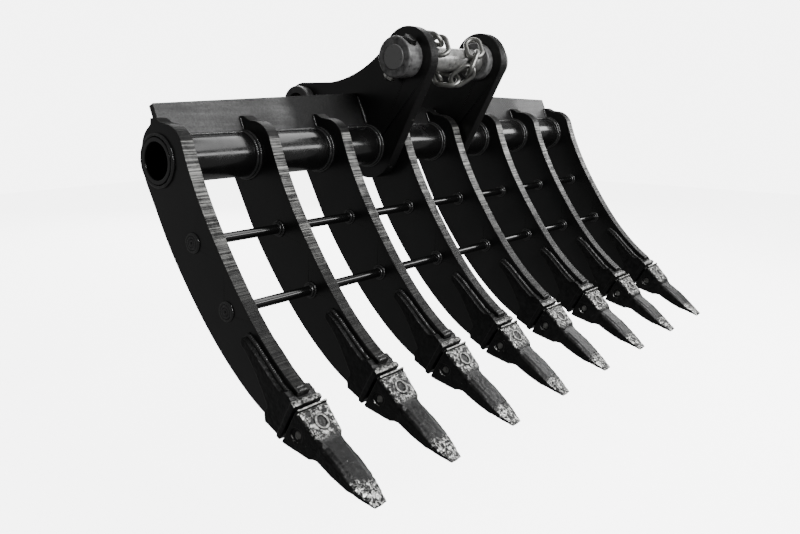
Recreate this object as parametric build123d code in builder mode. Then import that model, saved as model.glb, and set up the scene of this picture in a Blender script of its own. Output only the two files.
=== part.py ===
from build123d import *
import math
import os

os.makedirs("parts", exist_ok=True)

# Root rake for a 13 to 14 t excavator. Sizes in mm.
# X runs along the torsion tube, -Y points to the tooth tips and +Z is up.
# The origin is the middle of the front hitch pin.

# Tines
tine_count = 8
tine_pitch = 240.0
tine_thick = 32.0
outer_face = (tine_count - 1) * tine_pitch / 2 + tine_thick / 2

# Torsion tube and tie rods
tube_r = 50.8
tube_wall = 10.0
tube_y = 136.5
tube_z = -232.0
tube_proud = 6.0
head_r = tube_r + 10.2
rod_r = 11.0
upper_rod = (31.0, -397.0)
lower_rod = (-68.6, -527.6)

# Back plate, leaning back from the top of the tube
plate_t = 16.0
plate_lean = 22.8
plate_foot = (tube_y + 0.8, tube_z + tube_r - 2)
plate_end_h = 77.7
plate_ear_h = 101.8
plate_mid_h = 56.0
plate_end = outer_face - 16

# Ears and hitch
ear_gap = 300.0
ear_t = 32.0
ear_in = ear_gap / 2
ear_out = ear_in + ear_t
ear_head_r = 80.0
ear_foot_r = 88.0
rear_pin = (386.0, -121.0)
rear_end_r = 62.0
pin_r = 32.5
pin_play = 0.5
boss_r = 52.5
front_outer_boss = 53.0
front_inner_boss = 25.0
rear_outer_boss = 30.0
rear_inner_boss = 25.0
pin_proud = 2.0

# Keeper bolt through the left front boss
keeper_r = 10.0
keeper_play = 0.3
keeper_tilt = 36.6
keeper_seat = 44.0
keeper_x = -(ear_out + front_outer_boss / 2)

# Teeth: a frame at the rear of each tooth, pointing along it
tooth_y = -269.0
tooth_z = -717.0
tooth_dip = 29.6
tooth_half = 43.0
nose_gap = 0.4
lock_r = 8.0
lock_play = 0.06
lock_s = 24.0
lock_h = 0.0
lock_half = 36.0
lock_recess_r = 15.0
pad_ring_r = 16.0

# Adapters
cheek_t = 19.0

# Weld beads
tube_leg = 6.0
rod_leg = 5.0

tine_x = [(i - (tine_count - 1) / 2) * tine_pitch for i in range(tine_count)]
lean = math.radians(plate_lean)
dip = math.radians(tooth_dip)
up_y, up_z = math.sin(lean), math.cos(lean)
fwd = (0, -math.cos(dip), -math.sin(dip))


def side_plane(x):
    """The Y-Z plane at a place along the tube."""
    return Plane.YZ.offset(x)


def on_plate(along, depth):
    """A Y-Z point on the leaning plate: up its face and back through it."""
    y = plate_foot[0] + along * up_y + depth * up_z
    z = plate_foot[1] + along * up_z - depth * up_y
    return (y, z)


def save(piece, name):
    """Name one piece and write its file."""
    piece.label = name
    export_step(piece, "parts/" + name + ".step")


def plate_slot(x0, x1):
    """The room the leaning plate takes between two places along the tube."""
    corners = [on_plate(-12, 0), on_plate(115, 0), on_plate(115, plate_t), on_plate(-12, plate_t)]
    with BuildPart() as slot:
        with BuildSketch(side_plane(x0)):
            Polygon(*corners, align=None)
        extrude(amount=x1 - x0)
    return slot.part


# Torsion tube: one heavy pipe through every tine and both ears
tube_half = outer_face + tube_proud
with BuildPart() as torsion_tube:
    with BuildSketch(side_plane(-tube_half)):
        with Locations((tube_y, tube_z)):
            Circle(tube_r)
            Circle(tube_r - tube_wall, mode=Mode.SUBTRACT)
    extrude(amount=2 * tube_half)
    chamfer(torsion_tube.edges().filter_by(GeomType.CIRCLE), length=1.2)
save(torsion_tube.part, "torsion_tube")

# Tie rods: two round bars through every tine
rods = (("tie_rod_upper", upper_rod), ("tie_rod_lower", lower_rod))
for rod_name, rod_at in rods:
    with BuildPart() as tie_rod:
        with BuildSketch(side_plane(-outer_face)):
            with Locations(rod_at):
                Circle(rod_r)
        extrude(amount=2 * outer_face)
    save(tie_rod.part, rod_name)

# Tines: curved flame-cut plates, notched where the back plate runs through them
with BuildPart() as tine_master:
    with BuildSketch(side_plane(-tine_thick / 2)):
        with BuildLine():
            Spline((-272, -654), (-160, -554), (-70, -434), (2, -314), (54, -188))
            ThreePointArc((54, -188), (73, -165), (102, -153.5))
            Line((102, -153.5), (124, -151))
            Line((124, -151), (142, -142.5))
            Line((142, -142.5), (156, -142.5))
            Line((156, -142.5), (159, -157))
            Spline(
                (159, -157),
                (173, -167),
                (187, -184),
                (tube_y + head_r - 2, -208),
                (tube_y + head_r, tube_z),
                tangents=((0.84, -0.54), (0, -1)),
            )
            Spline(
                (tube_y + head_r, tube_z),
                (174, -305),
                (129, -392),
                (52, -509),
                (-40, -617),
                (-130, -694.5),
                (-206, -739),
                tangents=((0, -1), (-0.88, -0.47)),
            )
            Line((-206, -739), (-228, -746))
            Line((-228, -746), (-272, -654))
        make_face()
        with Locations((tube_y, tube_z)):
            Circle(head_r)
            Circle(tube_r, mode=Mode.SUBTRACT)
        with Locations(upper_rod, lower_rod):
            Circle(rod_r, mode=Mode.SUBTRACT)
    extrude(amount=tine_thick)

for n, x in enumerate(tine_x, start=1):
    slot_start = max(x - tine_thick / 2, -plate_end)
    slot_end = min(x + tine_thick / 2, plate_end)
    with BuildPart() as tine:
        add(tine_master.part.moved(Location((x, 0, 0))))
        add(plate_slot(slot_start, slot_end), mode=Mode.SUBTRACT)
    save(tine.part, f"tine_{n}")


def back_plate(name, x0, h0, x1, h1):
    """One length of the leaning plate with a straight top edge."""
    face = Plane(
        origin=(0, plate_foot[0], plate_foot[1]),
        x_dir=(1, 0, 0),
        z_dir=(0, -up_z, up_y),
    )
    with BuildPart() as plate:
        with BuildSketch(face):
            Polygon((x0, -12), (x1, -12), (x1, h1), (x0, h0), align=None)
        extrude(amount=-plate_t)
        with BuildSketch(side_plane(x0)):
            with Locations((tube_y, tube_z)):
                Circle(tube_r)
        extrude(amount=x1 - x0, mode=Mode.SUBTRACT)
    save(plate.part, name)


back_plate("back_plate_left", -plate_end, plate_end_h, -ear_out, plate_ear_h)
back_plate("back_plate_centre", -ear_in, plate_mid_h, ear_in, plate_mid_h)
back_plate("back_plate_right", ear_out, plate_ear_h, plate_end, plate_end_h)

# Ears: two cheek plates from the hitch pins down round the tube
for name, x0 in (("ear_left", -ear_out), ("ear_right", ear_in)):
    with BuildPart() as ear:
        with BuildSketch(side_plane(x0)):
            with BuildLine():
                CenterArc((0, 0), ear_head_r, 0, 360)
                CenterArc((tube_y, tube_z), ear_foot_r, 0, 360)
            make_hull()
            with BuildLine():
                ThreePointArc((60, 46), (140, -16), (275, -59))
                Line((275, -59), (rear_pin[0], rear_pin[1] + rear_end_r))
                RadiusArc(
                    (rear_pin[0], rear_pin[1] + rear_end_r),
                    (rear_pin[0], rear_pin[1] - rear_end_r),
                    rear_end_r,
                )
                ThreePointArc((rear_pin[0], rear_pin[1] - rear_end_r), (290, -185), (218, -227))
                Line((218, -227), (tube_y, tube_z))
                Line((tube_y, tube_z), (0, 0))
                Line((0, 0), (60, 46))
            make_face()
            with Locations((tube_y, tube_z)):
                Circle(tube_r, mode=Mode.SUBTRACT)
            with Locations((0, 0)):
                Circle(pin_r, mode=Mode.SUBTRACT)
            with Locations(rear_pin):
                Circle(pin_r + pin_play, mode=Mode.SUBTRACT)
        extrude(amount=ear_t)
    save(ear.part, name)


def boss(name, x0, length, at, bore_r, outer_x):
    """A round collar welded to an ear face, chamfered at its free end."""
    with BuildPart() as collar:
        with BuildSketch(side_plane(x0)):
            with Locations(at):
                Circle(boss_r)
                Circle(bore_r, mode=Mode.SUBTRACT)
        extrude(amount=length)
        rim = collar.faces().filter_by(Axis.X).sort_by(lambda f: abs(f.center().X - outer_x))[0]
        chamfer(rim.outer_wire().edges(), length=3)
        if name == "boss_front_outer_left":
            add(keeper_hole.part, mode=Mode.SUBTRACT)
    save(collar.part, name)


# Keeper bolt, its nut and washers, tilted through the left front boss and pin
tilt = math.radians(keeper_tilt)
keeper_dir = (0, -math.sin(tilt), math.cos(tilt))


def keeper_plane(height):
    """A plane across the keeper bolt at a distance from the pin's axis."""
    at = (keeper_x, keeper_dir[1] * height, keeper_dir[2] * height)
    return Plane(origin=at, x_dir=(1, 0, 0), z_dir=keeper_dir)


with BuildPart() as keeper_hole:
    with BuildSketch(keeper_plane(-boss_r - 10)):
        Circle(keeper_r + keeper_play)
    extrude(amount=2 * boss_r + 20)
    with BuildSketch(keeper_plane(keeper_seat)):
        Circle(20)
    extrude(amount=20)
    with BuildSketch(keeper_plane(-keeper_seat)):
        Circle(20)
    extrude(amount=-20)

washer_t = 3.0
with BuildPart() as keeper_bolt:
    with BuildSketch(keeper_plane(-keeper_seat - washer_t - 23)):
        Circle(keeper_r)
    extrude(amount=2 * keeper_seat + 2 * washer_t + 23)
    with BuildSketch(keeper_plane(keeper_seat + washer_t)):
        RegularPolygon(radius=15, side_count=6, major_radius=False)
    extrude(amount=12.5)
save(keeper_bolt.part, "keeper_bolt")

with BuildPart() as keeper_nut:
    with BuildSketch(keeper_plane(-keeper_seat - washer_t)):
        RegularPolygon(radius=15, side_count=6, major_radius=False)
        Circle(keeper_r, mode=Mode.SUBTRACT)
    extrude(amount=-16)
save(keeper_nut.part, "keeper_nut")

with BuildPart() as keeper_washers:
    for height in (keeper_seat, -keeper_seat - washer_t):
        with BuildSketch(keeper_plane(height)):
            Circle(18.5)
            Circle(keeper_r + keeper_play, mode=Mode.SUBTRACT)
        extrude(amount=washer_t)
save(keeper_washers.part, "keeper_washers")

# Bosses on both faces of both ears
front = (0, 0)
rear_bore = pin_r + pin_play
front_end = ear_out + front_outer_boss
rear_end = ear_out + rear_outer_boss
boss("boss_front_outer_left", -front_end, front_outer_boss, front, pin_r, -front_end)
boss("boss_front_inner_left", -ear_in, front_inner_boss, front, pin_r, 0)
boss("boss_front_inner_right", ear_in - front_inner_boss, front_inner_boss, front, pin_r, 0)
boss("boss_front_outer_right", ear_out, front_outer_boss, front, pin_r, front_end)
boss("boss_rear_outer_left", -rear_end, rear_outer_boss, rear_pin, rear_bore, -rear_end)
boss("boss_rear_inner_left", -ear_in, rear_inner_boss, rear_pin, rear_bore, 0)
boss("boss_rear_inner_right", ear_in - rear_inner_boss, rear_inner_boss, rear_pin, rear_bore, 0)
boss("boss_rear_outer_right", ear_out, rear_outer_boss, rear_pin, rear_bore, rear_end)

# Front hitch pin, held by the keeper bolt
pin_half = front_end + pin_proud
with BuildPart() as hitch_pin:
    with BuildSketch(side_plane(-pin_half)):
        Circle(pin_r)
    extrude(amount=2 * pin_half)
    chamfer(hitch_pin.edges().filter_by(GeomType.CIRCLE), length=2)
    add(keeper_hole.part, mode=Mode.SUBTRACT)
save(hitch_pin.part, "hitch_pin")


# Teeth and adapters are drawn in the tooth's own frame: s along it, h above it
def tooth_side():
    """The tooth's side view: local x is s and local y is h."""
    return Plane(origin=(0, tooth_y, tooth_z), x_dir=fwd, z_dir=(-1, 0, 0))


def tooth_section(s):
    """A plane across the tooth: local x is the tube's X and local y is h."""
    at = (0, tooth_y + s * fwd[1], tooth_z + s * fwd[2])
    return Plane(origin=at, x_dir=(1, 0, 0), z_dir=fwd)


def blade_section(s, top, h_top, half, h_shoulder, h_lower, bottom, h_bottom):
    """One eight-sided section: flat top and bottom, bevelled corners, upright sides."""
    with BuildSketch(tooth_section(s)) as section:
        Polygon(
            (-top, h_top),
            (top, h_top),
            (half, h_shoulder),
            (half, h_lower),
            (bottom, h_bottom),
            (-bottom, h_bottom),
            (-half, h_lower),
            (-half, h_shoulder),
            align=None,
        )
    return section.sketch


def nose_block(gap, mouth):
    """The adapter's tapered nose, or the pocket for it when gap is not nought."""
    with BuildPart() as nose:
        with BuildSketch(tooth_section(mouth)):
            Rectangle(60 + 2 * gap, 62 + 2 * gap)
        with BuildSketch(tooth_section(60 + gap)):
            Rectangle(44 + 2 * gap, 26 + 2 * gap)
        loft()
    return nose.part


with BuildPart() as lock_hole:
    with BuildSketch(tooth_side()):
        with Locations((lock_s, lock_h)):
            Circle(lock_r + lock_play)
    extrude(amount=tooth_half + 20, both=True)

with BuildPart() as lock_recess:
    with BuildSketch(tooth_side().offset(lock_half + 1)):
        with Locations((lock_s, lock_h)):
            Circle(lock_recess_r)
    extrude(amount=20)
    with BuildSketch(tooth_side().offset(-lock_half - 1)):
        with Locations((lock_s, lock_h)):
            Circle(lock_recess_r)
    extrude(amount=-20)

# Tooth: a cast cap with a pocket for the nose, a top pad, side scallops and a wedge blade
pad_back = (8.0, 43.0)
pad_front = (66.0, 27.0)
pad_slope = math.atan2(pad_back[1] - pad_front[1], pad_front[0] - pad_back[0])
pad_mid = ((pad_back[0] + pad_front[0]) / 2, (pad_back[1] + pad_front[1]) / 2)
with BuildPart() as tooth_master:
    add(blade_section(0, 39, 45, tooth_half, 39, -38, 36, -46))
    add(blade_section(66, 31, 27, 36, 22, -24, 28, -31))
    add(blade_section(74, 24, 23, 31, 15, -20, 25, -25))
    add(blade_section(84, 20, 22, 33, 12, -14, 26, -20))
    add(blade_section(125, 18, 18, 34, 11, -12, 26, -19))
    add(blade_section(165, 17, 12, 32, 7.5, -9, 24, -15))
    add(blade_section(190, 15, 8, 28, 5, -6, 20, -10))
    add(blade_section(227, 13, 3.2, 17, 1.8, -1.8, 14, -3.2))
    loft(ruled=True)
    with BuildSketch(tooth_side()):
        Polygon((0, 38), (0, 48), (4.5, 47), (5.5, 38), align=None)
    extrude(amount=tooth_half - 3, both=True)
    with BuildSketch(tooth_side()):
        Polygon((5.2, 41), (5.2, 52), (8, 52), (8, 41), align=None)
    extrude(amount=tooth_half + 5, both=True, mode=Mode.SUBTRACT)
    ring_at = tooth_side().from_local_coords((pad_mid[0], pad_mid[1], 0))
    ring_tilt = (math.sin(pad_slope), math.cos(pad_slope), 0)
    ring_up = tooth_side().from_local_coords(ring_tilt) - tooth_side().origin
    with BuildSketch(Plane(origin=ring_at, x_dir=(1, 0, 0), z_dir=ring_up).offset(-1)):
        Circle(pad_ring_r)
        Circle(pad_ring_r - 4, mode=Mode.SUBTRACT)
    extrude(amount=2.5)
    add(nose_block(nose_gap, -14), mode=Mode.SUBTRACT)
    add(lock_hole.part, mode=Mode.SUBTRACT)
    add(lock_recess.part, mode=Mode.SUBTRACT)

with BuildPart() as tooth_pin_master:
    with BuildSketch(tooth_side().offset(-lock_half)):
        with Locations((lock_s, lock_h)):
            Circle(lock_r)
    extrude(amount=2 * lock_half)
    chamfer(tooth_pin_master.edges().filter_by(GeomType.CIRCLE), length=1)

# Adapter: a forked weld-on body with two cheeks up the tine's sides and a nose
with BuildPart() as adapter_master:
    with BuildSketch(tooth_side()):
        Polygon(
            (-8, -43),
            (-8, 44),
            (-22, 46),
            (-46, 50),
            (-62, 36),
            (-72, -30),
            (-60, -46),
            align=None,
        )
    extrude(amount=tine_thick / 2 + cheek_t, both=True)
    with BuildSketch(tooth_side()):
        Polygon(
            (-8, -45),
            (-8, 45),
            (-13, 46.5),
            (-19, 46.5),
            (-21, 44),
            (-21, -45),
            align=None,
        )
    extrude(amount=tooth_half - 4, both=True)
    with BuildSketch(side_plane(-tine_thick / 2 - cheek_t)):
        with BuildLine():
            Spline((-252, -662), (-227, -645), (-192, -613), (-158, -581), (-136, -565))
            ThreePointArc((-136, -565), (-129, -574), (-137, -587))
            Spline((-137, -587), (-164, -622), (-190, -668), (-214, -718))
            Line((-214, -718), (-252, -662))
        make_face()
    extrude(amount=tine_thick + 2 * cheek_t)
    with BuildSketch(side_plane(-tine_thick / 2)):
        Polygon(
            (-272, -654),
            (-228, -746),
            (-160, -800),
            (90, -600),
            (-10, -480),
            (-170, -480),
            (-310, -600),
            align=None,
        )
    extrude(amount=tine_thick, mode=Mode.SUBTRACT)
    add(nose_block(0, -14))
    add(lock_hole.part, mode=Mode.SUBTRACT)

for n, x in enumerate(tine_x, start=1):
    place = Location((x, 0, 0))
    save(adapter_master.part.moved(place), f"adapter_{n}")
    save(tooth_master.part.moved(place), f"tooth_{n}")
    save(tooth_pin_master.part.moved(place), f"tooth_pin_{n}")


def fillet_ring(x, side, at, shaft_r, leg):
    """One convex weld bead round a shaft against a plate face."""
    face = Plane(origin=(x, at[0], at[1]), x_dir=(1, 0, 0), z_dir=(0, -1, 0))
    with BuildPart() as ring:
        with BuildSketch(face):
            Polygon(
                (0, shaft_r),
                (side * leg, shaft_r),
                (side * 0.8 * leg, shaft_r + 0.45 * leg),
                (side * 0.45 * leg, shaft_r + 0.8 * leg),
                (0, shaft_r + leg),
                align=None,
            )
        revolve(axis=Axis((x, at[0], at[1]), (1, 0, 0)))
    return ring.part


tube_at = (tube_y, tube_z)
tine_faces = [(x + side * tine_thick / 2, side) for x in tine_x for side in (-1, 1)]
ear_faces = [(-ear_out, -1), (-ear_in, 1), (ear_in, -1), (ear_out, 1)]

# Weld beads round the tube at every tine and ear face
with BuildPart() as tube_welds:
    for x, side in tine_faces + ear_faces:
        add(fillet_ring(x, side, tube_at, tube_r, tube_leg))
    add(plate_slot(-plate_end, plate_end), mode=Mode.SUBTRACT)
save(tube_welds.part, "tube_welds")

# Weld beads round the tie rods, and plug welds over their ends
for name, rod_at in (("rod_welds_upper", upper_rod), ("rod_welds_lower", lower_rod)):
    with BuildPart() as rod_welds:
        for x, side in tine_faces[1:-1]:
            add(fillet_ring(x, side, rod_at, rod_r, rod_leg))
        for side in (-1, 1):
            with BuildSketch(side_plane(side * outer_face)):
                with Locations(rod_at):
                    Circle(16)
            extrude(amount=side * 4.5, taper=35)
    save(rod_welds.part, name)

# Weld beads up the joints between the back plates and the ears
with BuildPart() as ear_plate_welds:
    for x, side, top in ((-ear_out, -1, 96), (-ear_in, 1, 50), (ear_in, -1, 50), (ear_out, 1, 96)):
        foot = on_plate(9, 0)
        bead = Plane(origin=(x, foot[0], foot[1]), x_dir=(1, 0, 0), z_dir=(0, up_y, up_z))
        with BuildSketch(bead):
            Polygon((0, 0), (side * 9, 0), (side * 5.5, -5.5), (0, -9), align=None)
        extrude(amount=top - 9)
save(ear_plate_welds.part, "ear_plate_welds")

# Lifting chain: long-link chain wound once round the hitch pin, free at both ends
link_count = 9
link_wire = 6.5
link_bend = 19.6
link_play = 0.45
link_reach = pin_r + 20.5
link_step = 20.0
link_turn = 45.0
link_chord = math.hypot(2 * link_reach * math.tan(math.radians(link_turn / 2)), link_step)
link_pitch = link_chord + link_wire + link_play
link_bar = link_pitch / 2 - link_bend + link_wire
link_start_x = 66.0
link_start_angle = 143.0
link_roll = 45.0


def chain_joint(k):
    """Where one link hooks the next: a corner of the winding round the pin."""
    angle = math.radians(link_start_angle + link_turn * (k - 0.5))
    radius = link_reach / math.cos(math.radians(link_turn / 2))
    x = link_start_x - link_step * (k - 0.5)
    return Vector(x, radius * math.cos(angle), radius * math.sin(angle))


with BuildPart() as lifting_chain:
    for k in range(link_count):
        start, end = chain_joint(k), chain_joint(k + 1)
        middle = (start + end) / 2
        along = (end - start).normalized()
        outward = Vector(0, middle.Y, middle.Z).normalized()
        roll = link_roll if k % 2 else -link_roll
        across = outward.rotate(Axis((0, 0, 0), along), roll)
        link_plane = Plane(origin=middle, x_dir=along, z_dir=along.cross(across))
        with BuildLine(link_plane):
            Line((-link_bar, link_bend), (link_bar, link_bend))
            ThreePointArc((link_bar, link_bend), (link_bar + link_bend, 0), (link_bar, -link_bend))
            Line((link_bar, -link_bend), (-link_bar, -link_bend))
            ThreePointArc((-link_bar, -link_bend), (-link_bar - link_bend, 0), (-link_bar, link_bend))
        wire_start = link_plane.from_local_coords((-link_bar, link_bend))
        with BuildSketch(Plane(origin=wire_start, x_dir=link_plane.z_dir, z_dir=along)):
            Circle(link_wire)
        sweep()
save(lifting_chain.part, "lifting_chain")
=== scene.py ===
import math

import bmesh
import bpy
from mathutils import Matrix, Vector, noise


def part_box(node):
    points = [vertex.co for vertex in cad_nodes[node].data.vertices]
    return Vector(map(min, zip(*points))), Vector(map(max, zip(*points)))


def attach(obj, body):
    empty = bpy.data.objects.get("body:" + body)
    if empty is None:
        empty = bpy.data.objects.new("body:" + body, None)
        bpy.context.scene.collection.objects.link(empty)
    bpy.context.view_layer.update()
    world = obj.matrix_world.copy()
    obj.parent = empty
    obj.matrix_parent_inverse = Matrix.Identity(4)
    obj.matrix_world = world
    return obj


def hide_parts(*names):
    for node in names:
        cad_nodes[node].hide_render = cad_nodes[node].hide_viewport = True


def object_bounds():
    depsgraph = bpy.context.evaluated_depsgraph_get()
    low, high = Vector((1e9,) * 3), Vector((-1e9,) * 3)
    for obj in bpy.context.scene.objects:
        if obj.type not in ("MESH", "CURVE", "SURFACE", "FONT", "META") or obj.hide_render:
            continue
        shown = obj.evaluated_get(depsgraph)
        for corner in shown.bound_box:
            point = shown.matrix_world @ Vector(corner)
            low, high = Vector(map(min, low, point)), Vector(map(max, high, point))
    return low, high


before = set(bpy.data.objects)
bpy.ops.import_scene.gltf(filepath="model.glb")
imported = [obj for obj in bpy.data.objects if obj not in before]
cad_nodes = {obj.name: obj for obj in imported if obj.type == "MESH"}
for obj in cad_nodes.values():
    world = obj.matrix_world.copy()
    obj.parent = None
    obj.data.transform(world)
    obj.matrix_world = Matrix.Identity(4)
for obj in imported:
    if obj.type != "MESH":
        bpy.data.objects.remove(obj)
cad_low, cad_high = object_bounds()

# ---------------------------------------------------------------------------
# Torsion tube: one length of heavy round steel pipe that every tine and both
# ears are threaded on. It is sprayed with gloss black enamel, so it shows one
# long bright reflection along its top and is open at both ends.
# ---------------------------------------------------------------------------


def linear(hex_colour):
    """An sRGB hex colour as linear RGBA."""
    channels = [int(hex_colour[i : i + 2], 16) / 255 for i in (1, 3, 5)]
    return [c / 12.92 if c <= 0.04045 else ((c + 0.055) / 1.055) ** 2.4 for c in channels] + [1.0]


def add_node(material, kind, inputs=None, stops=None, **settings):
    """Adds one node, sets it up and links it. Inputs are values or other nodes' sockets."""
    made = material.node_tree.nodes.new(kind)
    for key, value in settings.items():
        setattr(made, key, value)
    for key, value in (inputs or {}).items():
        if isinstance(value, bpy.types.NodeSocket):
            material.node_tree.links.new(value, made.inputs[key])
        else:
            made.inputs[key].default_value = value
    if stops:
        ramp = made.color_ramp
        while len(ramp.elements) < len(stops):
            ramp.elements.new(0.5)
        for element, (position, colour) in zip(ramp.elements, stops):
            element.position = position
            element.color = colour
    return made


def new_material(name):
    """An empty node material."""
    material = bpy.data.materials.new(name)
    material.use_nodes = True
    material.node_tree.nodes.clear()
    return material


def grey(value):
    """A neutral ramp colour."""
    return (value, value, value, 1.0)


def finish_material(material, shader):
    """Links the shader to the material's output."""
    add_node(material, "ShaderNodeOutputMaterial", {"Surface": shader.outputs[0]})
    return material


def dress(obj, material):
    """Gives an object one material in every slot."""
    obj.data.materials.clear()
    obj.data.materials.append(material)


def soften_edges(obj, width, angle=35):
    """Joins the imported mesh's split corners and rounds its sharp edges a little."""
    weld = obj.modifiers.new("join_corners", "WELD")
    weld.merge_threshold = 0.00002
    bevel = obj.modifiers.new("rounded_edges", "BEVEL")
    bevel.width = width
    bevel.segments = 2
    bevel.limit_method = "ANGLE"
    bevel.angle_limit = math.radians(angle)
    flat_faces = obj.modifiers.new("flat_faces", "WEIGHTED_NORMAL")
    flat_faces.weight = 80


# Gloss black enamel over steel, sprayed: orange peel, faint dust in patches of
# about 50 mm and a few light scuffs. The peel is drawn 6 mm wide, coarser than
# real, so that it shows.
def gloss_enamel(name, colour, roughness, peel_strength):
    """Gloss enamel. peel_strength sets how deep its orange peel is."""
    material = new_material(name)
    where = add_node(material, "ShaderNodeTexCoord").outputs["Object"]
    dust = add_node(
        material,
        "ShaderNodeTexNoise",
        {"Vector": where, "Scale": 1 / 0.05, "Detail": 6.0, "Roughness": 0.6},
    )
    scuffs = add_node(
        material,
        "ShaderNodeTexNoise",
        {"Vector": where, "Scale": 1 / 0.012, "Detail": 8.0, "Roughness": 0.7, "Distortion": 1.2},
    )
    peel = add_node(
        material,
        "ShaderNodeTexNoise",
        {"Vector": where, "Scale": 1 / 0.006, "Detail": 2.0},
    )
    speck = add_node(
        material,
        "ShaderNodeValToRGB",
        {"Fac": scuffs.outputs["Fac"]},
        stops=[(0.66, grey(0)), (0.74, grey(1))],
    )
    tint = add_node(
        material,
        "ShaderNodeMix",
        {6: linear(colour), 7: linear("#4a4a48"), 0: speck.outputs[0]},
        data_type="RGBA",
    )
    shine = add_node(
        material,
        "ShaderNodeMapRange",
        {
            "Value": dust.outputs["Fac"],
            "From Min": 0.3,
            "From Max": 0.7,
            "To Min": roughness * 0.7,
            "To Max": roughness * 1.5,
        },
    )
    bump = add_node(
        material,
        "ShaderNodeBump",
        {"Height": peel.outputs["Fac"], "Strength": peel_strength, "Distance": 0.0004},
    )
    shader = add_node(
        material,
        "ShaderNodeBsdfPrincipled",
        {
            "Base Color": tint.outputs[2],
            "Roughness": shine.outputs[0],
            "Normal": bump.outputs[0],
            "IOR": 1.5,
            "Specular IOR Level": 0.5,
            "Coat Weight": 0.2,
            "Coat Roughness": 0.08,
        },
    )
    return finish_material(material, shader)


tube_low, tube_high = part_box("torsion_tube")
tube_axis = ((tube_low.y + tube_high.y) / 2, (tube_low.z + tube_high.z) / 2)
tube_radius = (tube_high.z - tube_low.z) / 2
tube_enamel = gloss_enamel("tube_gloss_black_enamel", "#0b0b0b", 0.22, 0.2)
dress(cad_nodes["torsion_tube"], tube_enamel)
soften_edges(cad_nodes["torsion_tube"], 0.001)

# ---------------------------------------------------------------------------
# Tie rods: two round mild-steel bars passed through every tine and welded to
# each, so the tines can't spread. Same gloss black enamel as the tube.
# ---------------------------------------------------------------------------
rod_enamel = gloss_enamel("rod_gloss_black_enamel", "#0a0a0a", 0.13, 0.08)
rod_axes = {}
for rod in ("tie_rod_upper", "tie_rod_lower"):
    low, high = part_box(rod)
    rod_axes[rod] = ((low.y + high.y) / 2, (low.z + high.z) / 2)
    rod_radius = (high.z - low.z) / 2
    dress(cad_nodes[rod], rod_enamel)

# ---------------------------------------------------------------------------
# Tines: curved plates flame-cut from 32 mm structural steel. Their faces are
# mill scale under black enamel. Their cut edges keep the torch's drag lines
# across the plate, where the thin paint leaves them grey.
# ---------------------------------------------------------------------------
tine_names = sorted(n for n in cad_nodes if n.startswith("tine_"))
tine_boxes = [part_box(n) for n in tine_names]
tine_middles = [(low.x + high.x) / 2 for low, high in tine_boxes]
tine_half = (tine_boxes[0][1].x - tine_boxes[0][0].x) / 2
# Gives lines about 4 mm apart, coarser than real drag lines, so that they show
drag_line = 0.0024


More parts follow.
